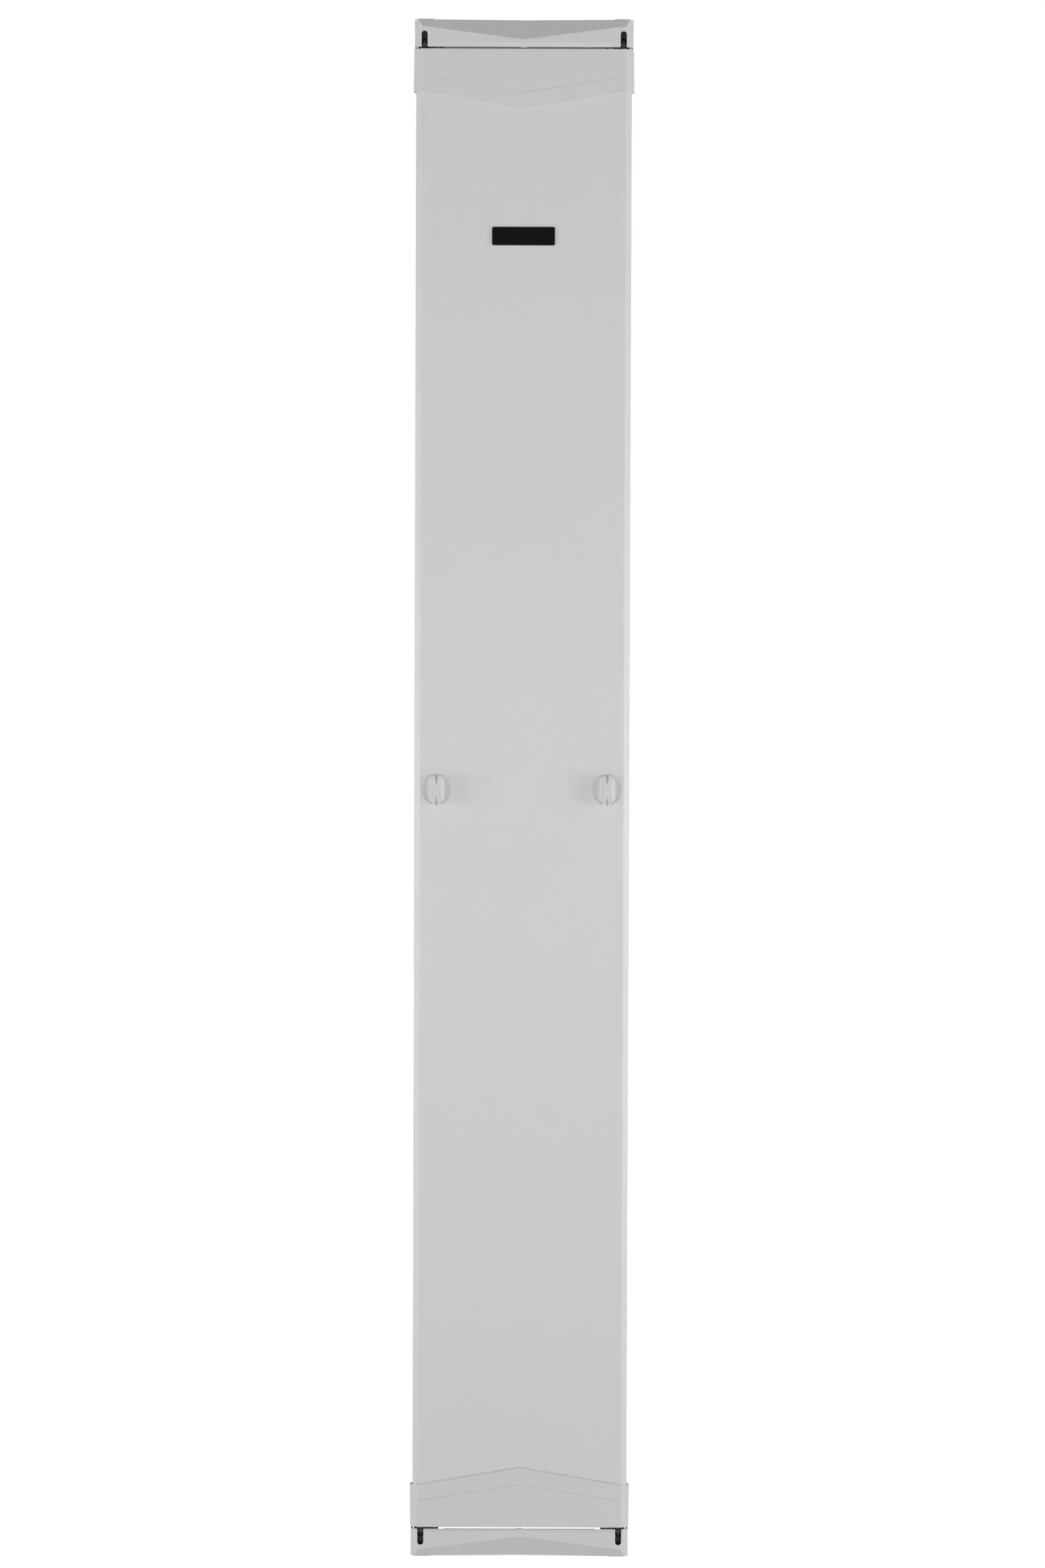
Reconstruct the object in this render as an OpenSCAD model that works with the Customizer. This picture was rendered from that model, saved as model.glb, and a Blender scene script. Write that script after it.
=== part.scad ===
// Vertical cable manager: a steel trough with rows of cable fingers, closed by a door that opens from either side.
// +X right, -Y towards the door, +Z up. The origin is on the floor under the middle of the whole.

/* [Frame] */
// Height from the floor to the top of the corner brackets
height = 2131; // [1700:1:2400]
// Width across the two side channels
frame_w = 298; // [290:1:298]
// Depth from the door's face to the back of the side channels
body_d = 268; // [250:1:400]
// Sheet thickness of the side channels and the back panel
sheet_t = 2; // [1.5:0.1:2.5]
// Depth of the side channels' webs
channel_d = 136; // [110:1:140]
// Width of the side channels' front flanges
front_flange = 23; // [22:1:26]
// Width of the side channels' back flanges
back_flange = 20; // [18:1:30]
// Radius of the holes that bolt the side channels to a rack
rack_hole_r = 5.25; // [4:0.05:7]
// Distance between the two rows of rack holes
rack_hole_gap = 50.8; // [40:0.1:60]
// Height of the lowest rack holes above the floor
rack_hole_z = 120; // [100:1:200]

/* [Back panel] */
// Width of each pass-through opening
pass_w = 190; // [120:1:210]
// Height of each pass-through opening
pass_h = 300; // [150:1:320]
// Corner radius of the pass-through openings
pass_r = 22; // [15:1:40]
// Depth of the folded flanges at the panel's two ends
panel_fold = 22; // [15:1:40]

/* [Fingers] */
// Rack unit, the distance from one finger to the next
pitch = 44.45; // [40:0.05:50]
// Height of a finger's bar
finger_h = 12; // [9:0.5:15]
// Thickness of a finger's bar
finger_t = 5; // [4:0.5:7]
// Height of the tab at a finger's tip
tab_h = 26; // [20:1:30]
// Width of the tab at a finger's tip
tab_w = 21; // [16:1:22]
// Thickness of the tab and of the strip that joins the fingers
strip_t = 4; // [3:0.5:5]
// Clearance between the door's back and the finger tips
tip_clear = 9; // [8:0.5:20]

/* [Slack spools] */
// Radius of a spool's hub
spool_r = 30; // [22:1:34]
// Length of a spool from the panel to its outer face
spool_l = 82; // [60:1:90]
// Radius of a spool's outer flange
spool_flange_r = 46; // [38:1:48]

/* [Door] */
// Width of the door's sheet
door_w = 298; // [296:0.5:298]
// Half width of the flat front, inside the two bevels
flat_half = 141; // [140:0.5:142]
// Depth of the bevel along each side of the front
bevel_d = 6; // [5:0.5:7]
// Depth of the door's sheet, front to back
door_d = 22; // [21:0.5:23]
// Thickness of the door's sheet
door_t = 1.2; // [1:0.1:1.4]
// Width of the lips folded inward along the door's back
lip_w = 12; // [8:0.5:14]
// Gap between the door's ends and the fascias
end_gap = 2.7; // [2:0.1:4]

/* [Door caps] */
// Width of a cap at its inner end
cap_w = 305; // [303.5:0.5:306]
// How much narrower a cap is at its outer end
cap_taper = 1.7; // [0.5:0.1:2]
// Length of a cap's sides
cap_side = 58; // [45:1:66]
// Length of a cap at the tip of its chevron
cap_tip = 84; // [75:1:100]
// Wall thickness of the caps
cap_t = 2; // [1.6:0.1:2.2]

/* [Fascias] */
// Width of a fascia
fascia_w = 302; // [301:0.5:304]
// Height of a fascia
fascia_h = 38; // [36:0.5:44]
// Depth of a fascia, front to back
fascia_d = 44; // [40:1:48]
// Wall thickness of a fascia
fascia_t = 2.5; // [2:0.1:3]
// Width of the slots in front of the hinge pins
slot_w = 8.4; // [7.8:0.1:9]
// Height of the slots in front of the hinge pins
slot_h = 22; // [16:0.5:24]

/* [Hinges] */
// Radius of the hinge pins
pin_r = 3.5; // [3:0.1:3.8]
// Distance of the pins behind the door's face
pin_y = 8; // [8:0.1:8.6]
// How far the pins stand into the fascias
pin_reach = 12; // [10:0.5:12.2]
// Thickness of the corner brackets
bracket_t = 2.5; // [2:0.1:3]

/* [Latches] */
// Distance of each knob from the door's middle
knob_x = 118; // [118:0.1:118.4]
// Radius of a knob
knob_r = 20.8; // [18:0.1:21.5]
// Height of a knob above the door's face
knob_h = 14; // [12:0.5:18]
// Width of a knob's grip at its waist
grip_w = 9.6; // [8:0.2:12]
// Module of the pinions and racks
gear_m = 1.6; // [1.5:0.05:1.6]
// Radius of the latch rods
rod_r = 3; // [2.5:0.1:3]

/* [Badge] */
// Width of the blank badge
badge_w = 87; // [60:1:120]
// Height of the blank badge
badge_h = 25.4; // [18:0.1:40]
// Distance of the badge's middle below the top of the manager
badge_drop = 300; // [200:1:600]

/* [Hidden] */
$fn = 48;

WHITE = "gainsboro";
OFF_WHITE = "whitesmoke";
BLACK = [0.1, 0.1, 0.1];
ZINC = "silver";

fit = 0.1;                                  // clearance of a piece in its seat
run = 0.3;                                  // clearance of a piece that moves past another
cut = 1;                                    // how far a cutter reaches past what it cuts
y_face = -(body_d + knob_h) / 2 + knob_h;   // the door's face, from the origin
mid = height / 2;

pass_n = 3;                                 // pass-through openings
columns = 5;                                // finger mouldings on each side

half_w = frame_w / 2;
y_channel = body_d - channel_d;
y_panel = body_d - 2 * sheet_t;             // the front of the back panel
panel_half = half_w - sheet_t - fit;
y_tip = door_d + tip_clear;                 // the front of the finger tips
y_strip = y_channel - strip_t;

flange_step = 1.4;                          // the corner brackets stand this far past the fascias
fascia_top = flange_step + fascia_h;        // the edge of the bottom fascia beside the door
door_end = fascia_top + end_gap;            // the bottom end of the door
door_half = door_w / 2;
fascia_half = fascia_w / 2;
pin_x = flat_half - slot_w / 2 + 0.6;

gear_teeth = 12;
gear_r = gear_m * gear_teeth / 2;
gear_angle = 25;
travel = gear_r * PI / 2;
rack_t = 6;                                 // thickness of the racks and the pinions
y_rack = pin_y - rack_t / 2;

// ---- placing ----

// One side's piece, drawn on the right; side is 1 for the right and -1 for the left.
module on_side(side) {
    if (side > 0) children();
    else mirror([1, 0, 0]) children();
}

// One end's piece, drawn at the bottom.
module at_top() translate([0, 0, height]) mirror([0, 0, 1]) children();

// Depths are drawn from the door's face.
module placed() translate([0, y_face, 0]) children();

// An outline in X and Z, given depth along Y.
module deep(y, d) translate([0, y + d, 0]) rotate([90, 0, 0]) linear_extrude(d) children();

// An outline in Y and Z, given width along X.
module wide(x, w) translate([x, 0, 0]) rotate([90, 0, 90]) linear_extrude(w) children();

module rounded(w, h, r) {
    square([w - 2 * r, h], center = true);
    square([w, h - 2 * r], center = true);
    for (x = [-1, 1], y = [-1, 1]) translate([x * (w / 2 - r), y * (h / 2 - r)]) circle(r);
}

// A pan head screw along +Y, with its head's underside at the origin.
module screw(r, l) {
    translate([0, -2, 0]) rotate([-90, 0, 0]) cylinder(r = 2 * r, h = 2);
    rotate([-90, 0, 0]) cylinder(r = r, h = l);
}

// ---- side channels ----

screw_r = 1.9;
panel_screw_n = 6;
panel_screw_x = half_w - back_flange / 2 - 1;
function panel_screw_z(i) = 60 + i * (height - 120) / (panel_screw_n - 1);

bracket_screw_y = [y_channel + 12, y_channel + 32];
bracket_screw_z = 38;

module side_channel() color(WHITE) difference() {
    translate([0, 0, flange_step]) linear_extrude(height - 2 * flange_step) {
        translate([half_w - sheet_t, y_channel]) square([sheet_t, channel_d]);
        translate([half_w - front_flange, y_channel]) square([front_flange, sheet_t]);
        translate([half_w - back_flange, body_d - sheet_t]) square([back_flange, sheet_t]);
    }
    // the front flange stops short of the corner brackets
    for (z = [-cut, height - bracket_leg_h - 1])
        translate([half_w - front_flange - cut, y_channel - cut, z])
            cube([front_flange + cut - sheet_t, sheet_t + cut, bracket_leg_h + 1 + cut]);
    for (z = [rack_hole_z, height - rack_hole_z], y = [-1, 1])
        translate([half_w - sheet_t - cut, y_channel + channel_d / 2 + y * rack_hole_gap / 2, z])
            rotate([0, 90, 0]) cylinder(r = rack_hole_r, h = sheet_t + 2 * cut);
    for (z = [bracket_screw_z, height - bracket_screw_z], y = bracket_screw_y)
        translate([half_w - sheet_t - cut, y, z]) rotate([0, 90, 0])
            cylinder(r = screw_r + fit, h = sheet_t + 2 * cut);
    for (i = [0 : panel_screw_n - 1])
        translate([panel_screw_x, body_d - sheet_t - cut, panel_screw_z(i)]) rotate([-90, 0, 0])
            cylinder(r = screw_r + fit, h = sheet_t + 2 * cut);
    for (k = [0 : columns - 1], e = [0, 1])
        translate([finger_screw_x, y_channel - cut, finger_screw_z(k, e)]) rotate([-90, 0, 0])
            cylinder(r = screw_r + fit, h = sheet_t + 2 * cut);
}

// ---- back panel, its trims and spools ----

pass_pitch = height / pass_n;
function pass_z(i) = (i + 0.5) * pass_pitch;
spool_end_z = 120;
spool_z = [spool_end_z, mid - pass_pitch / 2, mid + pass_pitch / 2, height - spool_end_z];
spool_screw_r = 2.5;
lip_over = 9;                               // how far a trim's lip covers the panel

module back_panel() color(WHITE) difference() {
    union() {
        translate([-panel_half, y_panel, flange_step])
            cube([2 * panel_half, sheet_t, height - 2 * flange_step]);
        for (z = [flange_step, height - flange_step - sheet_t])
            translate([-panel_half + back_flange, y_panel - panel_fold, z])
                cube([2 * (panel_half - back_flange), panel_fold + cut, sheet_t]);
    }
    for (i = [0 : pass_n - 1]) translate([0, 0, pass_z(i)])
        deep(y_panel - cut, sheet_t + 2 * cut) rounded(pass_w, pass_h, pass_r);
    for (z = spool_z) translate([0, y_panel - cut, z]) rotate([-90, 0, 0])
        cylinder(r = spool_screw_r + fit, h = sheet_t + 2 * cut);
    for (side = [-1, 1], i = [0 : panel_screw_n - 1])
        translate([side * panel_screw_x, y_panel - cut, panel_screw_z(i)]) rotate([-90, 0, 0])
            cylinder(r = screw_r + fit, h = sheet_t + 2 * cut);
}

// The trim's section: x runs out from the opening's edge and y forward from the panel's face.
lip_r = 2.2;
module trim_section() {
    translate([-strip_t, -2 * sheet_t]) square([strip_t - fit, 2 * sheet_t + lip_r]);
    translate([lip_r - strip_t, 0]) square([lip_over + strip_t - 2 * lip_r, 2 * lip_r]);
    for (x = [lip_r - strip_t, lip_over - lip_r]) translate([x, lip_r]) circle(lip_r);
}

// One section carried round a rounded opening, a quarter at a time.
module carried_round(w, h, r) for (x = [0, 1], z = [0, 1]) mirror([x, 0, 0]) mirror([0, z, 0]) {
    translate([w / 2 - r, h / 2 - r]) rotate_extrude(angle = 90) translate([r, 0]) children();
    translate([w / 2, h / 2 - r]) rotate([90, 0, 0]) linear_extrude(h / 2 - r) children();
    translate([0, h / 2]) rotate([90, 0, 90]) linear_extrude(w / 2 - r) children();
}

// A bend-radius frame that lines a pass-through opening.
module pass_through_trim(i) color(OFF_WHITE) translate([0, y_panel, pass_z(i)]) rotate([90, 0, 0])
    carried_round(pass_w, pass_h, pass_r) trim_section();

// A round spool that keeps slack cable off tight bends, open at the front for its screw.
module slack_spool(i) color(OFF_WHITE) translate([0, y_panel, spool_z[i]]) rotate([90, 0, 0])
    rotate_extrude() difference() {
        union() {
            square([spool_r, spool_l]);
            square([spool_r + 8, 3]);
            translate([0, spool_l - 3]) square([spool_flange_r - 1.5, 3]);
            translate([spool_flange_r - 1.5, spool_l - 1.5]) circle(1.5);
        }
        translate([0, -cut]) square([spool_screw_r + fit, spool_l]);
        translate([0, 5]) square([spool_r - 3, spool_l]);
    }

module spool_screws() color(ZINC) for (z = spool_z)
    translate([0, y_panel - 5, z]) screw(spool_screw_r, 5 + 2 * sheet_t);

module panel_screws() color(ZINC) for (side = [-1, 1], i = [0 : panel_screw_n - 1])
    translate([side * panel_screw_x, y_panel, panel_screw_z(i)]) screw(screw_r, 2 * sheet_t);

// ---- fingers ----

fingers_each = floor((height - 2 * 60) / columns / pitch);
column_h = fingers_each * pitch;
fingers_z = mid - columns * column_h / 2;
column_gap = 0.6;
strip_x = half_w - front_flange + 1;
finger_x = half_w - finger_t - 1.5;
finger_screw_x = strip_x + 6;
root_r = 9;                                 // radius that a finger flares with at its root
function finger_screw_z(k, e) = fingers_z + k * column_h + (e ? column_h - pitch : pitch);

// The flare at a finger's root, on its upper side.
module root_flare() difference() {
    translate([y_strip - root_r, 0]) square([root_r + cut, finger_h / 2 + root_r]);
    translate([y_strip - root_r, finger_h / 2 + root_r]) circle(root_r);
}

// One finger: a bar with a half-round top and underside, and a tab that keeps cable in.
module finger() {
    core = (finger_h - finger_t) / 2;
    wide(finger_x, finger_t) {
        translate([y_tip + 1, -core]) square([y_strip - y_tip, 2 * core]);
        root_flare();
        mirror([0, 1]) root_flare();
    }
    for (z = [-core, core]) translate([finger_x + finger_t / 2, y_tip + 1, z]) rotate([-90, 0, 0])
        cylinder(r = finger_t / 2, h = y_strip - y_tip);
    translate([finger_x + finger_t + 1 - tab_w / 2, 0, 0]) deep(y_tip, strip_t) rounded(tab_w, tab_h, 6);
}

// A moulding of nine fingers on one strip, which screws to the channel's front flange.
module finger_column(k) color(OFF_WHITE) translate([0, 0, fingers_z + k * column_h]) difference() {
    union() {
        translate([strip_x, y_strip, column_gap / 2])
            cube([half_w - strip_x, strip_t, column_h - column_gap]);
        for (i = [0 : fingers_each - 1]) translate([0, 0, (i + 0.5) * pitch]) finger();
    }
    for (e = [0, 1]) translate([finger_screw_x, y_strip - cut, finger_screw_z(0, e) - fingers_z])
        rotate([-90, 0, 0]) cylinder(r = screw_r + fit, h = strip_t + 2 * cut);
}

module finger_screws() color(ZINC) for (side = [-1, 1], k = [0 : columns - 1], e = [0, 1])
    translate([side * finger_screw_x, y_strip, finger_screw_z(k, e)]) screw(screw_r, strip_t + sheet_t);

// ---- corner brackets and their bushes ----

bush_flange = 2;
bush_r = 5;
bush_flange_r = 6.5;
bush_h = 7;
cap_y = -cap_t;                             // the front of the fascias and the caps
fascia_bevel = (fascia_half - flat_half) * bevel_d / (door_half - flat_half);
hinge_plate_z = fascia_top - bush_flange - bracket_t;
hinge_plate_x = 113;
hinge_plate_y = 1.5;
bracket_x = half_w - sheet_t - bracket_t;   // the inner face of a bracket's web
foot_x = half_w - sheet_t - 22;             // the inner edge of the flange at a bracket's end
foot_y = 9;                                 // the front of that flange
bracket_back = y_channel + 46;
bracket_leg_h = 60;                         // height of a bracket's web behind the door
bracket_leg_y = door_d + 14;
fascia_post_x = 119;
fascia_post_y = 26;

// The hinge plate in plan, with its corner cut off along the inside of the fascia's bevel.
module hinge_plate() let (
    x = half_w - sheet_t,
    slope = fascia_bevel / (fascia_half - fascia_t - flat_half)
) polygon([
    [hinge_plate_x, hinge_plate_y], [flat_half, hinge_plate_y],
    [x, hinge_plate_y + slope * (x - flat_half)], [x, fascia_d - 8], [hinge_plate_x, fascia_d - 8]
]);

// A bent steel arm that reaches from a side channel to the door's corner and carries its hinge.
module bracket() color(WHITE) difference() {
    union() {
        wide(bracket_x, bracket_t) polygon([
            [foot_y, 0], [bracket_back, 0], [bracket_back, bracket_leg_h - 20],
            [bracket_back - 20, bracket_leg_h], [bracket_leg_y, bracket_leg_h],
            [bracket_leg_y, hinge_plate_z + bracket_t], [foot_y, hinge_plate_z + bracket_t]
        ]);
        translate([foot_x, foot_y, 0]) cube([bracket_x + 1 - foot_x, bracket_back - foot_y, bracket_t]);
        translate([0, 0, hinge_plate_z]) linear_extrude(bracket_t) hinge_plate();
    }
    translate([pin_x, pin_y, hinge_plate_z - cut]) cylinder(r = bush_r + fit / 2, h = bracket_t + 2 * cut);
    translate([fascia_post_x, fascia_post_y, hinge_plate_z - cut])
        cylinder(r = screw_r + fit, h = bracket_t + 2 * cut);
    for (y = bracket_screw_y) translate([bracket_x - cut, y, bracket_screw_z]) rotate([0, 90, 0])
        cylinder(r = screw_r + fit, h = bracket_t + 2 * cut);
}

// A flanged bush that a hinge pin turns in.
module bush() translate([pin_x, pin_y, 0]) rotate_extrude() translate([pin_r + fit / 2, 0]) {
    translate([0, fascia_top - bush_h]) square([bush_r - pin_r - fit / 2, bush_h]);
    translate([0, fascia_top - bush_flange]) square([bush_flange_r - pin_r - fit / 2, bush_flange]);
}

module both_ends_and_sides() for (side = [-1, 1]) {
    on_side(side) children();
    on_side(side) at_top() children();
}

module hinge_bushes() color(BLACK) both_ends_and_sides() bush();

module bracket_screws() color(ZINC) both_ends_and_sides() for (y = bracket_screw_y)
    translate([bracket_x, y, bracket_screw_z]) rotate([0, 0, -90]) screw(screw_r, bracket_t + sheet_t);

module fascia_screws() color(ZINC) both_ends_and_sides()
    translate([fascia_post_x, fascia_post_y, hinge_plate_z + bracket_t]) rotate([-90, 0, 0])
    screw(screw_r, bracket_t + 8);

// ---- fascias ----

facet_side = 9.4;                           // where the facet starts at the two ends, from the far edge
facet_tip = 28;                             // where it starts in the middle
facet_turn = atan((facet_tip - facet_side) / flat_half);
facet_lean = atan(0.45 / cos(facet_turn));  // it leans back 0.45 for its height
roll_h = 6;                                 // how much of the front curves back beside the door
roll_r = 10;

// The outline in plan of anything as wide as w with the door's flat front and its two bevels.
module bevelled(w, y, d, b) polygon([
    [-w / 2, y + d], [-w / 2, y + b], [-flat_half, y], [flat_half, y], [w / 2, y + b], [w / 2, y + d]
]);

// All that lies in front of a facet's right half.
module facet_front(y) intersection() {
    translate([0, y, facet_tip]) rotate([0, facet_turn, 0]) rotate([facet_lean, 0, 0])
        translate([-fascia_half, -60, -80]) cube([2 * fascia_w, 60, 160]);
    translate([0, -80, -80]) cube([fascia_w, 160, 160]);
}

module fascia_inside() bevelled(fascia_w - 2 * fascia_t, cap_y + fascia_t, fascia_d, fascia_bevel);

// A moulded fascia across the manager's end, with a chevron facet and a slot before each hinge pin.
module fascia() color(WHITE) translate([0, 0, flange_step]) difference() {
    union() {
        difference() {
            linear_extrude(fascia_h) bevelled(fascia_w, cap_y, fascia_d, fascia_bevel);
            difference() {
                translate([0, 0, fascia_t]) linear_extrude(fascia_h) fascia_inside();
                for (side = [-1, 1]) on_side(side) facet_front(cap_y + fascia_t + 0.2);
            }
            // the end wall makes room for the brackets
            translate([0, 0, -cut]) linear_extrude(fascia_t + 2 * cut) intersection() {
                fascia_inside();
                for (side = [-1, 1]) on_side(side)
                    translate([foot_x - 1, foot_y - 1]) square(fascia_d);
            }
        }
        for (side = [-1, 1]) translate([side * fascia_post_x, fascia_post_y, fascia_t / 2])
            cylinder(r = 4.5, h = hinge_plate_z - flange_step - fascia_t / 2);
        // a rib behind the rolled edge, with a small tab at its middle
        translate([-105, cap_y + fascia_t - cut, fascia_h - fascia_t]) cube([210, 4, fascia_t]);
        translate([-4, cap_y + fascia_t - 0.5, fascia_h - fascia_t]) cube([8, 3, fascia_t + 1]);
    }
    for (side = [-1, 1]) on_side(side) facet_front(cap_y);
    wide(-fascia_half, fascia_w) difference() {
        translate([cap_y - cut, fascia_h - roll_h]) square([roll_r + cut, roll_h + 2 * cut]);
        translate([cap_y + roll_r, fascia_h - roll_h]) circle(roll_r);
        translate([cap_y + fascia_t - 0.5, 0]) square(2 * roll_r + fascia_h);
    }
    for (side = [-1, 1]) {
        translate([side * fascia_post_x, fascia_post_y, hinge_plate_z - flange_step - 10])
            cylinder(r = screw_r + fit, h = 11);
        translate([side * pin_x, 0, fascia_h - slot_h]) deep(cap_y - cut, 9) {
            translate([0, slot_w / 2]) circle(slot_w / 2);
            translate([-slot_w / 2, slot_w / 2]) square([slot_w, slot_h]);
        }
    }
}

// ---- door ----

cap_end_t = 2.5;                            // end wall of a cap
cap_side_t = 2.2;                           // side walls of a cap
cap_back = door_d + 2;                      // the back of a cap
bevel_slope = bevel_d / (door_half - flat_half);
groove_side = 34.3;                         // the groove's distance from the door's end at its ends
groove_tip = 59.4;                          // and in the middle
groove_w = 1;
groove_d = 0.6;
shaft_r = 5;                                // a knob's shaft
sleeve_r = 5;
sleeve_l = 20;
boss_r = 6.6;
cap_screw_x = door_half - 6;
cap_screw_z = door_end + 45;

// The door's sheet in plan: a front with bevelled sides and lips folded inward behind.
module tray() let (
    lean = atan(bevel_slope),
    x = door_half - door_t,
    y = bevel_d + door_t * tan((90 - lean) / 2),
    flat = flat_half - door_t * tan(lean / 2)
) difference() {
    bevelled(door_w, 0, door_d, bevel_d);
    polygon([[-x, door_d - door_t], [-x, y], [-flat, door_t], [flat, door_t], [x, y], [x, door_d - door_t]]);
    translate([lip_w - door_half, door_d / 2]) square([door_w - 2 * lip_w, door_d]);
}

module door_panel() color(WHITE) difference() {
    translate([0, 0, door_end + cap_end_t + fit])
        linear_extrude(height - 2 * (door_end + cap_end_t + fit)) tray();
    for (side = [-1, 1]) {
        translate([side * knob_x, -cut, mid]) rotate([-90, 0, 0])
            cylinder(r = shaft_r + run, h = door_t + 2 * cut);
        for (z = [cap_screw_z, height - cap_screw_z])
            translate([side * cap_screw_x, door_d / 2, z]) rotate([-90, 0, 0])
                cylinder(r = screw_r + fit, h = door_d);
    }
}

// A wedge of half the width that lies beyond a chevron line; it can lean to bevel an edge.
module beyond(tip, side, lean) intersection() {
    translate([0, 0, tip]) rotate([0, atan((tip - side) / (cap_w / 2)), 0]) rotate([lean, 0, 0])
        translate([-cap_w / 2, -60, 0]) cube([2 * cap_w, 120, 120]);
    translate([0, -60, 0]) cube([cap_w, 120, 2 * cap_tip]);
}

// A moulded cap that closes the door's end and holds the hinge sleeves.
module door_cap() color(WHITE) translate([0, 0, door_end]) difference() {
    union() {
        difference() {
            intersection() {
                linear_extrude(cap_tip)
                    bevelled(cap_w, cap_y, cap_back - cap_y, bevel_slope * (cap_w / 2 - flat_half));
                deep(-cap_w, 2 * cap_w) polygon([
                    [(cap_taper - cap_w) / 2, 0], [(cap_w - cap_taper) / 2, 0], [cap_w / 2, cap_side],
                    [cap_w / 2, cap_tip], [-cap_w / 2, cap_tip], [-cap_w / 2, cap_side]
                ]);
            }
            translate([0, 0, cap_end_t]) linear_extrude(cap_tip) {
                bevelled(cap_w - 2 * cap_side_t, 0, door_d + fit,
                    bevel_slope * (cap_w / 2 - cap_side_t - flat_half));
                translate([lip_w - door_half, door_d / 2]) square([door_w - 2 * lip_w, door_d]);
            }
        }
        for (side = [-1, 1]) translate([side * pin_x, pin_y, cut]) cylinder(r = boss_r, h = sleeve_l + 1 - cut);
    }
    for (side = [-1, 1]) {
        translate([side * pin_x, pin_y, -cut]) cylinder(r = sleeve_r + fit / 2, h = sleeve_l + 3 * cut);
        translate([side * cap_screw_x, door_d, cap_screw_z - door_end]) rotate([-90, 0, 0])
            cylinder(r = screw_r + fit, h = door_d);
        on_side(side) {
            beyond(cap_tip, cap_side, 0);
            beyond(cap_tip, cap_side, 38);
            difference() {
                beyond(groove_tip, groove_side, 0);
                beyond(groove_tip + groove_w, groove_side + groove_w, 0);
                linear_extrude(2 * cap_tip) bevelled(cap_w - 2 * groove_d, cap_y + groove_d, cap_w,
                    bevel_slope * (cap_w / 2 - groove_d - flat_half));
            }
        }
    }
}

module cap_screws() color(ZINC) both_ends_and_sides()
    translate([cap_screw_x, cap_back, cap_screw_z]) rotate([0, 0, 180]) screw(screw_r, 6);

// The flanged sleeves that a hinge pin slides and turns in, at the door's two ends.
module pin_sleeve() translate([pin_x, pin_y, 0]) rotate_extrude() translate([pin_r + fit / 2, 0]) {
    translate([0, door_end - end_gap + run]) square([bush_flange_r - pin_r - fit / 2, end_gap - run - fit]);
    translate([0, door_end - end_gap + run]) square([sleeve_r - pin_r - fit / 2, sleeve_l + end_gap - run]);
}

module pin_sleeves(side) color(BLACK) on_side(side) {
    pin_sleeve();
    at_top() pin_sleeve();
}

module blank_badge() color(BLACK) translate([0, 0, height - badge_drop]) {
    deep(-1.2, 1.2) rounded(badge_w, badge_h, 2.4);
    deep(-1.6, 1) rounded(badge_w - 0.8, badge_h - 0.8, 2);
}

// ---- latches ----

drive = 6;                                  // the square end of a knob's shaft
hub_r = 7;
case_wall = 1.6;
case_x0 = knob_x - 23;
case_x1 = half_w - 3;
case_y1 = 18;
case_down = 66;                             // how far a gear case reaches below the knob
case_up = 48;
tooth = PI * gear_m;
backlash = 0.15;
outer_x = knob_x + gear_r;                  // pitch line of the rack on the upper rod
inner_x = knob_x - gear_r;                  // pitch line of the rack on the lower rod
rod_seat = 12;                              // how deep the rods sit in the racks and the pins
block_w = 10;
block_h = 18;
collar_z = door_end + 26;                   // the shoulder of a pin, at the bottom
collar_h = 14;
bowl_r = 110;                               // radius of the grip's hollow sides, seen from the front
base_h = 3.4;                               // thickness of a knob's disc

// A knob: a disc with a grip across it, hollowed on both sides, and a shaft with a square end.
module knob(side) color(WHITE) translate([side * knob_x, 0, mid]) {
    difference() {
        rotate([90, 0, 0]) union() {
            cylinder(r = knob_r, h = knob_h - 1);
            cylinder(r = knob_r - 1, h = knob_h);
        }
        for (x = [0, 1]) mirror([x, 0, 0]) {
            knob_bowl(base_h, 10);
            intersection() {
                knob_bowl(base_h - 1.2, 9);
                rotate([90, 0, 0]) cylinder(r = knob_r - 1.4, h = knob_h);
            }
        }
        // a valley at each end of the grip
        for (z = [0, 1]) mirror([0, 0, z]) translate([0, -knob_h + 1, knob_r - 12])
            rotate([-14, 0, 0]) rotate([0, 0, 45]) translate([-6, -6, 0]) cube([6, 6, 30]);
    }
    rotate([-90, 0, 0]) difference() {
        union() {
            translate([0, 0, -1]) cylinder(r = shaft_r, h = y_rack + 1 - fit);
            translate([-drive / 2, -drive / 2, 0]) cube([drive, drive, y_rack + rack_t - fit]);
        }
        translate([0, 0, y_rack - 2]) cylinder(r = screw_r + fit, h = 20);
    }
}

// The hollow beside a grip, turned about an axis beside the knob, with a rounded bottom.
module knob_bowl(floor_y, round_r) translate([grip_w / 2 + bowl_r, 0, 0]) rotate([90, 0, 0])
    rotate_extrude() {
        translate([0, floor_y]) square([bowl_r - round_r, knob_h]);
        translate([0, floor_y + round_r]) square([bowl_r, knob_h]);
        translate([bowl_r - round_r, floor_y + round_r]) circle(round_r);
    }

// One involute tooth of a pinion, pointing along X.
function inv(a) = tan(a) - a * PI / 180;
base_r = gear_r * cos(gear_angle);
tip_r = gear_r + gear_m;
root_circle = gear_r - 1.25 * gear_m;
function flank(r) = (tooth - backlash) / 4 / gear_r * 2 * 90 / PI
    + (inv(gear_angle) - inv(acos(min(1, base_r / r)))) * 180 / PI;
module pinion_tooth() let (
    n = 6,
    r = [for (i = [0 : n]) base_r + 0.01 + (tip_r - base_r - 0.01) * i / n],
    half = [for (q = r) [q * cos(flank(q)), q * sin(flank(q))]],
    low = [for (q = [root_circle - 1, base_r]) [q * cos(flank(r[0])), q * sin(flank(r[0]))]],
    up = concat(low, half)
) polygon(concat(up, [for (i = [len(up) - 1 : -1 : 0]) [up[i][0], -up[i][1]]]));

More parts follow.
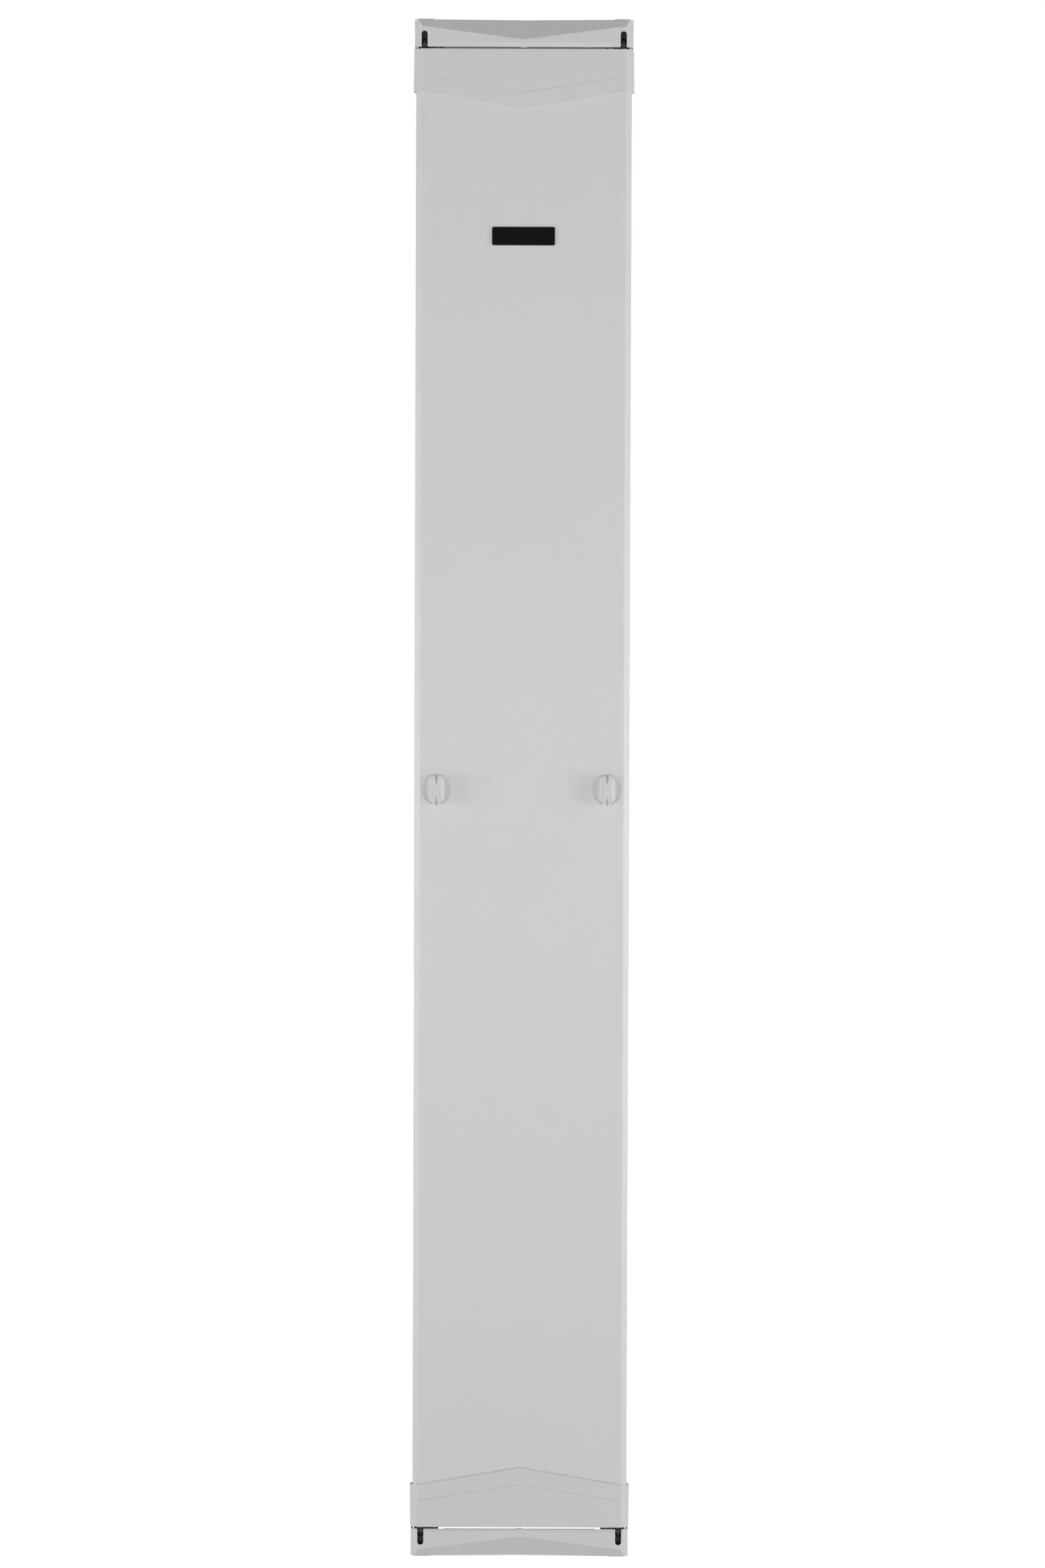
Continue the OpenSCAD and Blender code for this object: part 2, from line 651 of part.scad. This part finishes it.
// A pinion with a hub that runs in the gear case's back wall.
module pinion(side) color(OFF_WHITE) translate([side * knob_x, y_rack, mid]) rotate([-90, 0, 0]) difference() {
    union() {
        linear_extrude(rack_t) {
            circle(root_circle);
            for (i = [0 : gear_teeth - 1]) rotate((i + 0.5) * 360 / gear_teeth) pinion_tooth();
        }
        cylinder(r = hub_r, h = case_y1 - y_rack);
    }
    translate([-drive / 2 - fit, -drive / 2 - fit, -cut]) cube([drive + 2 * fit, drive + 2 * fit, rack_t + cut]);
    cylinder(r = screw_r + fit, h = case_y1);
    translate([0, 0, case_y1 - y_rack - 2.2]) cylinder(r = 2 * screw_r + fit, h = 5);
}

module knob_screw(side) color(ZINC) translate([side * knob_x, case_y1 - 2.2, mid])
    rotate([0, 0, 180]) screw(screw_r, case_y1 - 2.2 - y_rack);

// A rack's teeth from the first to the last, with the pitch line on Z and the body to the right.
module rack_outline(first, last) {
    for (k = [first : last]) translate([0, k * tooth]) polygon([
        [-gear_m, gear_m * tan(gear_angle) - tooth / 4], [-gear_m, tooth / 4 - gear_m * tan(gear_angle)],
        [1.3 * gear_m, tooth / 4 + 1.3 * gear_m * tan(gear_angle)],
        [1.3 * gear_m, -tooth / 4 - 1.3 * gear_m * tan(gear_angle)]
    ]);
}

// The block in which a rod ends, from z upward, bored from one of its ends.
module rod_block(z, bore_z) difference() {
    translate([pin_x - block_w / 2, pin_y - block_w / 2 + 0.5, z]) cube([block_w, block_w - 1, block_h]);
    translate([pin_x, pin_y, bore_z]) cylinder(r = rod_r + fit / 2, h = rod_seat + cut);
}

module upper_rack(side) color(OFF_WHITE) translate([0, 0, mid]) on_side(side) {
    deep(y_rack, rack_t) {
        translate([outer_x, 0]) rack_outline(-1, 4);
        translate([outer_x + 1.25 * gear_m, -8]) square([block_w, 35]);
    }
    rod_block(26, 26 + block_h - rod_seat);
}

module lower_rack(side) color(OFF_WHITE) translate([0, 0, mid]) on_side(side) {
    deep(y_rack, rack_t) {
        translate([inner_x, 0]) mirror([1, 0]) rack_outline(-4, 1);
        translate([inner_x - 1.25 * gear_m - 8, -50]) square([8, 58]);
        translate([inner_x - 1.25 * gear_m - 8, -50])
            square([pin_x - block_w / 2 + 1 - inner_x + 1.25 * gear_m + 8, 10]);
    }
    rod_block(-40 - block_h - 4, -40 - block_h - 4 - cut);
    translate([pin_x - block_w / 2, pin_y - block_w / 2 + 0.5, -45]) cube([block_w, block_w - 1, 5]);
}

module lower_rod() translate([pin_x, pin_y, collar_z + collar_h - rod_seat + fit])
    cylinder(r = rod_r, h = mid - 62 + rod_seat - collar_z - collar_h + rod_seat - 2 * fit);

module upper_rod() translate([pin_x, pin_y, mid + 26 + block_h - rod_seat + fit])
    cylinder(r = rod_r, h = mid - 26 - block_h + rod_seat - collar_z - collar_h + rod_seat - 2 * fit);

// A domed hinge pin with a collar that takes the rod.
module pin() translate([pin_x, pin_y, fascia_top - pin_reach]) difference() {
    union() {
        translate([0, 0, pin_r]) sphere(pin_r);
        translate([0, 0, pin_r]) cylinder(r = pin_r, h = collar_z + 1 - fascia_top + pin_reach - pin_r);
        translate([0, 0, collar_z - fascia_top + pin_reach]) cylinder(r = sleeve_r, h = collar_h);
    }
    translate([0, 0, collar_z + collar_h - rod_seat - fascia_top + pin_reach])
        cylinder(r = rod_r + fit / 2, h = rod_seat + cut);
}

// A gear case, open towards the door's sheet.
module gear_case(side) color(OFF_WHITE) translate([0, 0, mid]) on_side(side) difference() {
    union() {
        difference() {
            translate([0, 0, -case_down]) linear_extrude(case_down + case_up) polygon([
                [case_x0, door_t + fit], [flat_half - 0.6, door_t + fit],
                [case_x1, door_t + fit + (case_x1 - flat_half + 0.6) * bevel_slope + 0.2],
                [case_x1, case_y1], [case_x0, case_y1]
            ]);
            translate([case_x0 + case_wall, -cut, case_wall - case_down]) cube([
                case_x1 - case_x0 - 2 * case_wall, case_y1 - case_wall + cut,
                case_down + case_up - 2 * case_wall
            ]);
        }
        translate([knob_x, y_rack + rack_t + 1, 0]) rotate([-90, 0, 0])
            cylinder(r = hub_r + 2.5, h = case_y1 - y_rack - rack_t - 1);
    }
    translate([knob_x, 0, 0]) rotate([-90, 0, 0]) cylinder(r = hub_r + fit / 2, h = case_y1 + cut);
    translate([pin_x, pin_y, -case_down - cut]) cylinder(r = rod_r + run + fit, h = case_down + case_up + 2 * cut);
}

// The blocks that keep the long rods straight.
module rod_guides() color(BLACK) for (side = [-1, 1], z = [-750, -350, 350, 750]) on_side(side)
    translate([pin_x, 0, mid + z * mid / 1065.5]) difference() {
        union() {
            translate([-9.5, door_t, -6]) cube([12.5, 3, 12]);
            translate([-6, 3, -6]) cube([11.2, 10.2, 12]);
        }
        translate([0, pin_y, -10]) cylinder(r = rod_r + fit / 2, h = 20);
    }

// ---- the pieces ----

placed() {
    back_panel();
    on_side(-1) side_channel();  // left_side_channel
    on_side(1) side_channel();  // right_side_channel
    on_side(-1) finger_column(0);  // left_fingers_1
    on_side(-1) finger_column(1);  // left_fingers_2
    on_side(-1) finger_column(2);  // left_fingers_3
    on_side(-1) finger_column(3);  // left_fingers_4
    on_side(-1) finger_column(4);  // left_fingers_5
    finger_column(0);  // right_fingers_1
    finger_column(1);  // right_fingers_2
    finger_column(2);  // right_fingers_3
    finger_column(3);  // right_fingers_4
    finger_column(4);  // right_fingers_5
    at_top() fascia();  // top_fascia
    fascia();  // bottom_fascia
    on_side(-1) at_top() bracket();  // top_left_bracket
    at_top() bracket();  // top_right_bracket
    on_side(-1) bracket();  // bottom_left_bracket
    bracket();  // bottom_right_bracket
    hinge_bushes();
    slack_spool(0);  // slack_spool_1
    slack_spool(1);  // slack_spool_2
    slack_spool(2);  // slack_spool_3
    slack_spool(3);  // slack_spool_4
    pass_through_trim(0);  // pass_through_trim_1
    pass_through_trim(1);  // pass_through_trim_2
    pass_through_trim(2);  // pass_through_trim_3
    panel_screws();
    finger_screws();
    bracket_screws();
    fascia_screws();
    spool_screws();
    door_panel();
    at_top() door_cap();  // top_door_cap
    door_cap();  // bottom_door_cap
    blank_badge();
    gear_case(-1);  // left_gear_case
    gear_case(1);  // right_gear_case
    rod_guides();
    cap_screws();
    pin_sleeves(-1);  // left_pin_sleeves
    pin_sleeves(1);  // right_pin_sleeves
    knob(-1);  // left_knob
    knob(1);  // right_knob
    pinion(-1);  // left_pinion
    pinion(1);  // right_pinion
    knob_screw(-1);  // left_knob_screw
    knob_screw(1);  // right_knob_screw
    upper_rack(-1);  // left_upper_rack
    lower_rack(-1);  // left_lower_rack
    upper_rack(1);  // right_upper_rack
    lower_rack(1);  // right_lower_rack
    color(ZINC) on_side(-1) upper_rod();  // left_upper_rod
    color(ZINC) on_side(-1) lower_rod();  // left_lower_rod
    color(ZINC) upper_rod();  // right_upper_rod
    color(ZINC) lower_rod();  // right_lower_rod
    color(BLACK) on_side(-1) at_top() pin();  // left_upper_pin
    color(BLACK) on_side(-1) pin();  // left_lower_pin
    color(BLACK) at_top() pin();  // right_upper_pin
    color(BLACK) pin();  // right_lower_pin
}
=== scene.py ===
import math

import bpy
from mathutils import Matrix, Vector


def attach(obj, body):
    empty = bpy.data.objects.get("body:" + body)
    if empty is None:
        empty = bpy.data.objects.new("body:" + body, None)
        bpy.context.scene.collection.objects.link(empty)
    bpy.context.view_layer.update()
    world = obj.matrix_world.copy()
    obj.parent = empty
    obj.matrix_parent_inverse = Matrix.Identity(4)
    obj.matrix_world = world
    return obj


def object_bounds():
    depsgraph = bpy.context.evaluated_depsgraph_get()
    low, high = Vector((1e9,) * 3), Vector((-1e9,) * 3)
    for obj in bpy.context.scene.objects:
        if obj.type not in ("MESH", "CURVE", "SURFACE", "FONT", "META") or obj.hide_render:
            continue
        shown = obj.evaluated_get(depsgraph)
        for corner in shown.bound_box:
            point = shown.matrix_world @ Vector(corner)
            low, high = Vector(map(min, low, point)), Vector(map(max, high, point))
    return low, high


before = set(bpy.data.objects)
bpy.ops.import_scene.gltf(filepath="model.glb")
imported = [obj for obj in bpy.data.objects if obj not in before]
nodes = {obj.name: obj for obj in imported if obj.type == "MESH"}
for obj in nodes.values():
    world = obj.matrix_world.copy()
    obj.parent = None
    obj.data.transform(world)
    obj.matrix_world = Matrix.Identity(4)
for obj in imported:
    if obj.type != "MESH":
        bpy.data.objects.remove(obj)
cad_low, cad_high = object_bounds()
bpy.ops.object.select_all(action="DESELECT")

# ---------------------------------------------------------------------------
# Camera, floor and light
# A long lens stands 7 m in front of the door, a little above its middle.
# The floor is plain white and the ceiling is dim. A broad lamp stands behind the
# camera, and two tall ones far out to the sides make the bevels brightest.
# ---------------------------------------------------------------------------
CAMERA_PLACE = (0.0006, -7.0, 1.2179)
CAMERA_TILT = -1.198                # degrees below level
CAMERA_ROLL = -0.194                # degrees
LENS, SENSOR = 114.01, 36           # millimetres
WORLD_LEVEL, WORLD_ABOVE = 0.48, 0.14
DIM_FROM, DIM_TO = 0.0, 0.8         # how steeply one looks up where the dimming starts and ends
FLOOR_SIZE = 24
FLOOR_WHITE = (0.86, 0.86, 0.86, 1)

camera_data = bpy.data.cameras.new("camera")
camera = bpy.data.objects.new("camera", camera_data)
bpy.context.scene.collection.objects.link(camera)
camera_data.lens = LENS
camera_data.sensor_width = SENSOR
camera_data.clip_end = 100
camera.location = CAMERA_PLACE
camera.rotation_mode = "XYZ"
camera.rotation_euler = (math.radians(90 + CAMERA_TILT), math.radians(CAMERA_ROLL), 0)
bpy.context.scene.camera = camera

scene = bpy.context.scene
scene.view_settings.view_transform = "Standard"

world = bpy.data.worlds.new("studio")
scene.world = world
world.use_nodes = True
wn, wl = world.node_tree.nodes, world.node_tree.links
wn.clear()
world_out = wn.new("ShaderNodeOutputWorld")
room = wn.new("ShaderNodeBackground")
room.inputs["Color"].default_value = (1, 1, 1, 1)
direction = wn.new("ShaderNodeTexCoord")
height_of = wn.new("ShaderNodeSeparateXYZ")
dim_ceiling = wn.new("ShaderNodeMapRange")
dim_ceiling.inputs["From Min"].default_value = DIM_FROM
dim_ceiling.inputs["From Max"].default_value = DIM_TO
dim_ceiling.inputs["To Min"].default_value = WORLD_LEVEL
dim_ceiling.inputs["To Max"].default_value = WORLD_ABOVE
wl.new(direction.outputs["Generated"], height_of.inputs["Vector"])
wl.new(height_of.outputs["Z"], dim_ceiling.inputs["Value"])
wl.new(dim_ceiling.outputs["Result"], room.inputs["Strength"])
white_wall = wn.new("ShaderNodeBackground")
white_wall.inputs["Color"].default_value = (1, 1, 1, 1)
white_wall.inputs["Strength"].default_value = 1.0
seen = wn.new("ShaderNodeLightPath")
world_mix = wn.new("ShaderNodeMixShader")
wl.new(seen.outputs["Is Camera Ray"], world_mix.inputs["Fac"])
wl.new(room.outputs["Background"], world_mix.inputs[1])
wl.new(white_wall.outputs["Background"], world_mix.inputs[2])
wl.new(world_mix.outputs["Shader"], world_out.inputs["Surface"])


def soft_lamp(name, place, aim, width, height, watts):
    """A rectangular soft box, turned towards a point on the object."""
    data = bpy.data.lights.new(name, "AREA")
    data.shape = "RECTANGLE"
    data.size = width
    data.size_y = height
    data.energy = watts
    lamp = bpy.data.objects.new(name, data)
    scene.collection.objects.link(lamp)
    lamp.location = place
    lamp.rotation_euler = (Vector(aim) - Vector(place)).to_track_quat("-Z", "Y").to_euler()


soft_lamp("lamp_left", (-4.58, -1.44, 0.7), (0, 0, 1.0), 1.4, 2.0, 93)
soft_lamp("lamp_right", (4.58, -1.44, 0.7), (0, 0, 1.0), 1.4, 2.0, 108)
soft_lamp("lamp_front", (0, -7.4, 0.5), (0, 0, 0.9), 3.0, 1.8, 178)
soft_lamp("lamp_rear", (0.5, 4.2, 2.6), (0, 0, 1.0), 2.6, 2.0, 60)

bpy.ops.mesh.primitive_plane_add(size=FLOOR_SIZE, location=(0, 2, 0))
floor = bpy.context.object
floor.name = "floor"
floor_paint = bpy.data.materials.new("floor_white")
floor_paint.use_nodes = True
fn, fl = floor_paint.node_tree.nodes, floor_paint.node_tree.links
floor_shader = fn["Principled BSDF"]
floor_shader.inputs["Base Color"].default_value = FLOOR_WHITE
floor_shader.inputs["Roughness"].default_value = 0.9
floor_glow = fn.new("ShaderNodeEmission")
floor_seen = fn.new("ShaderNodeLightPath")
floor_add = fn.new("ShaderNodeAddShader")
fl.new(floor_seen.outputs["Is Camera Ray"], floor_glow.inputs["Strength"])
floor_glow.inputs["Color"].default_value = (1, 1, 1, 1)
fl.new(floor_shader.outputs["BSDF"], floor_add.inputs[0])
fl.new(floor_glow.outputs["Emission"], floor_add.inputs[1])
fl.new(floor_add.outputs["Shader"], fn["Material Output"].inputs["Surface"])
floor.data.materials.append(floor_paint)

# ---------------------------------------------------------------------------
# Painted sheet steel: the side channels, back panel and door
# Bent from 1.2 to 2 mm steel and powder coated in a pale, satin white, with
# the faint orange peel that a powder coat has.
# ---------------------------------------------------------------------------
SHEET_NODES = ["back_panel", "left_side_channel", "right_side_channel", "door_panel"]
DRIFT_PER_METRE = 7                 # scale of the slow drift in tone and roughness
BUMP_HEIGHT = 0.0001
WELD_DISTANCE = 0.00001
COPLANAR = math.radians(1)          # faces closer to flat than this become one
SHARP = math.radians(28)            # edges sharper than this are rounded


def build_skin_group():
    """Fine bumps and soft tonal drift, shared by every painted or moulded finish."""
    group = bpy.data.node_groups.new("fine_skin", "ShaderNodeTree")
    for name, default in (("Grain per metre", 900.0), ("Grain depth", 0.3), ("Roughness", 0.45),
                          ("Roughness spread", 0.06), ("Tone spread", 0.02)):
        socket = group.interface.new_socket(name, in_out="INPUT", socket_type="NodeSocketFloat")
        socket.default_value = default
    group.interface.new_socket("Color", in_out="INPUT", socket_type="NodeSocketColor")
    group.interface.new_socket("Color", in_out="OUTPUT", socket_type="NodeSocketColor")
    group.interface.new_socket("Roughness", in_out="OUTPUT", socket_type="NodeSocketFloat")
    group.interface.new_socket("Height", in_out="OUTPUT", socket_type="NodeSocketFloat")
    n, link = group.nodes, group.links.new
    source = n.new("NodeGroupInput")
    result = n.new("NodeGroupOutput")
    place = n.new("ShaderNodeTexCoord")

    grain = n.new("ShaderNodeTexNoise")
    grain.inputs["Detail"].default_value = 3
    grain.inputs["Roughness"].default_value = 0.55
    link(place.outputs["Object"], grain.inputs["Vector"])
    link(source.outputs["Grain per metre"], grain.inputs["Scale"])
    depth = n.new("ShaderNodeMath")
    depth.operation = "MULTIPLY"
    link(grain.outputs["Fac"], depth.inputs[0])
    link(source.outputs["Grain depth"], depth.inputs[1])
    link(depth.outputs["Value"], result.inputs["Height"])

    drift = n.new("ShaderNodeTexNoise")
    drift.inputs["Scale"].default_value = DRIFT_PER_METRE
    drift.inputs["Detail"].default_value = 4
    link(place.outputs["Object"], drift.inputs["Vector"])
    centred = n.new("ShaderNodeMath")
    centred.operation = "SUBTRACT"
    centred.inputs[1].default_value = 0.5
    link(drift.outputs["Fac"], centred.inputs[0])

    rough = n.new("ShaderNodeMath")
    rough.operation = "MULTIPLY_ADD"
    link(centred.outputs["Value"], rough.inputs[0])
    link(source.outputs["Roughness spread"], rough.inputs[1])
    link(source.outputs["Roughness"], rough.inputs[2])
    link(rough.outputs["Value"], result.inputs["Roughness"])

    shade = n.new("ShaderNodeMath")
    shade.operation = "MULTIPLY_ADD"
    shade.inputs[2].default_value = 1
    link(centred.outputs["Value"], shade.inputs[0])
    link(source.outputs["Tone spread"], shade.inputs[1])
    tone = n.new("ShaderNodeVectorMath")
    tone.operation = "SCALE"
    link(source.outputs["Color"], tone.inputs[0])
    link(shade.outputs["Value"], tone.inputs["Scale"])
    link(tone.outputs["Vector"], result.inputs["Color"])
    return group


fine_skin = build_skin_group()


def skinned_material(name, color, grain, depth, roughness, spread=0.06, tone=0.02, metal=0.0):
    """A Principled material with the fine skin on it; metal stays on the shader itself."""
    material = bpy.data.materials.new(name)
    material.use_nodes = True
    n, link = material.node_tree.nodes, material.node_tree.links.new
    shader = n["Principled BSDF"]
    shader.inputs["Metallic"].default_value = metal
    skin = n.new("ShaderNodeGroup")
    skin.node_tree = fine_skin
    skin.inputs["Color"].default_value = (*color, 1)
    skin.inputs["Grain per metre"].default_value = grain
    skin.inputs["Grain depth"].default_value = depth
    skin.inputs["Roughness"].default_value = roughness
    skin.inputs["Roughness spread"].default_value = spread
    skin.inputs["Tone spread"].default_value = tone
    bump = n.new("ShaderNodeBump")
    bump.inputs["Distance"].default_value = BUMP_HEIGHT
    bump.inputs["Strength"].default_value = 1.0
    link(skin.outputs["Height"], bump.inputs["Height"])
    link(skin.outputs["Color"], shader.inputs["Base Color"])
    link(skin.outputs["Roughness"], shader.inputs["Roughness"])
    link(bump.outputs["Normal"], shader.inputs["Normal"])
    return material


def dress(node, material):
    """Gives a CAD node its finish."""
    mesh = nodes[node].data
    mesh.materials.clear()
    mesh.materials.append(material)


def round_edges(node, radius, steps=2):
    """Joins a CAD node's triangles into whole faces and rounds its sharp edges."""
    piece = nodes[node]
    weld = piece.modifiers.new("weld", "WELD")
    weld.merge_threshold = WELD_DISTANCE
    flat = piece.modifiers.new("flat_faces", "DECIMATE")
    flat.decimate_type = "DISSOLVE"
    flat.angle_limit = COPLANAR
    edge = piece.modifiers.new("round_edges", "BEVEL")
    edge.limit_method = "ANGLE"
    edge.angle_limit = SHARP
    edge.width = radius
    edge.segments = steps
    edge.use_clamp_overlap = True


powder_coat = skinned_material("powder_coat", (0.66, 0.66, 0.66), 620, 0.5, 0.42)
for name in SHEET_NODES:
    dress(name, powder_coat)
round_edges("door_panel", 0.0008)

# ---------------------------------------------------------------------------
# Corner brackets
# Bent from 2.5 mm steel and painted a satin black. The black shows as the dark ends
# in the gaps at the door's corners and behind the slots of the fascias, and there it also serves as
# painted shade for the shadow those gaps lie in.
# ---------------------------------------------------------------------------
# This satin black is the brackets' own paint; on the plates below it is painted shade.
black_paint_and_shade = skinned_material("black_paint_and_shade", (0.022, 0.022, 0.023), 620, 0.4, 0.38)
for name in ("top_left_bracket", "top_right_bracket", "bottom_left_bracket", "bottom_right_bracket"):
    dress(name, black_paint_and_shade)
    round_edges(name, 0.0005)

# ---------------------------------------------------------------------------
# Shade plates at the corner brackets
# A flat black plate joins each bracket's end flange to its hinge plate, behind the
# pin. It is painted shade: it closes the view through the fascia's slot, so that the shadowed inside
# reads black.
# ---------------------------------------------------------------------------
PLATE_X, PLATE_Z = (0.1140, 0.1443), (0.0042, 0.0348)
PLATE_Y, PLATE_THICKNESS = -0.0920, 0.0020
PLATE_ROUND = 0.0004
plate_x, plate_low = sum(PLATE_X) / 2, sum(PLATE_Z) / 2
plate_size = (PLATE_X[1] - PLATE_X[0], PLATE_THICKNESS, PLATE_Z[1] - PLATE_Z[0])
for end in ("bottom", "top"):
    for side, sign in (("left", -1), ("right", 1)):
        plate_z = plate_low if end == "bottom" else cad_high[2] - plate_low
        bpy.ops.object.select_all(action="DESELECT")
        bpy.ops.mesh.primitive_cube_add(size=1, location=(sign * plate_x, PLATE_Y, plate_z),
                                        scale=plate_size)
        plate = bpy.context.object
        plate.name = end + "_" + side + "_shade_plate"
        bpy.ops.object.transform_apply(location=True, rotation=True, scale=True)
        bpy.ops.object.mode_set(mode="EDIT")
        bpy.ops.mesh.select_all(action="SELECT")
        bpy.ops.mesh.bevel(offset=PLATE_ROUND, segments=2, affect="EDGES")
        bpy.ops.object.mode_set(mode="OBJECT")
        plate.data.materials.append(black_paint_and_shade)
        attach(plate, "frame")
bpy.ops.object.select_all(action="DESELECT")

# ---------------------------------------------------------------------------
# White mouldings: the fascias, door caps, knobs, fingers, spools and trims
# Injection moulded in a white polymer with a fine spark-eroded texture. The
# fascias, door caps and knobs have their edges rounded to the small radii that a moulding needs.
# ---------------------------------------------------------------------------
moulded_white = skinned_material("moulded_white", (0.64, 0.64, 0.64), 1500, 0.35, 0.46)
FASCIAS_AND_CAPS = ["top_fascia", "bottom_fascia", "top_door_cap", "bottom_door_cap"]
KNOBS = ["left_knob", "right_knob"]
white_mouldings = [name for name in nodes
                   if "_fingers_" in name or name.startswith(("slack_spool", "pass_through"))]
for name in white_mouldings + FASCIAS_AND_CAPS + KNOBS:
    dress(name, moulded_white)
for name in FASCIAS_AND_CAPS:
    round_edges(name, 0.0006)
for name in KNOBS:
    round_edges(name, 0.0005)

# ---------------------------------------------------------------------------
# Gears, racks and gear cases
# Moulded in the natural off-white of an acetal, which is smoother than the rest.
# ---------------------------------------------------------------------------
acetal = skinned_material("acetal", (0.70, 0.70, 0.67), 800, 0.15, 0.34)
for name in nodes:
    if name.endswith(("_rack", "_pinion", "_gear_case")):
        dress(name, acetal)

# ---------------------------------------------------------------------------
# Black mouldings: bushes, sleeves, rod guides and the blank badge
# Glass-filled nylon with a fine satin grain. The badge is bare and duller, so that
# it stays dark in front of the lamp behind the camera.
# ---------------------------------------------------------------------------
black_nylon = skinned_material("black_nylon", (0.018, 0.018, 0.019), 1300, 0.3, 0.38)
for name in ("hinge_bushes", "rod_guides", "left_pin_sleeves", "right_pin_sleeves"):
    dress(name, black_nylon)
badge_black = skinned_material("badge_black", (0.006, 0.006, 0.006), 2200, 0.12, 0.42)
badge_black.node_tree.nodes["Principled BSDF"].inputs["Specular IOR Level"].default_value = 0.03
dress("blank_badge", badge_black)

# ---------------------------------------------------------------------------
# Steel fittings: the pins, rods and screws
# The pins are turned and blacked; the rods and screws are zinc plated.
# ---------------------------------------------------------------------------
blacked_steel = skinned_material("blacked_steel", (0.03, 0.03, 0.032), 700, 0.15, 0.3, metal=0.6)
zinc_plate = skinned_material("zinc_plate", (0.58, 0.59, 0.60), 500, 0.15, 0.32, spread=0.12, metal=1.0)
for name in nodes:
    if name.endswith("_pin"):
        dress(name, blacked_steel)
    elif name.endswith(("_rod", "_screw", "_screws")):
        dress(name, zinc_plate)
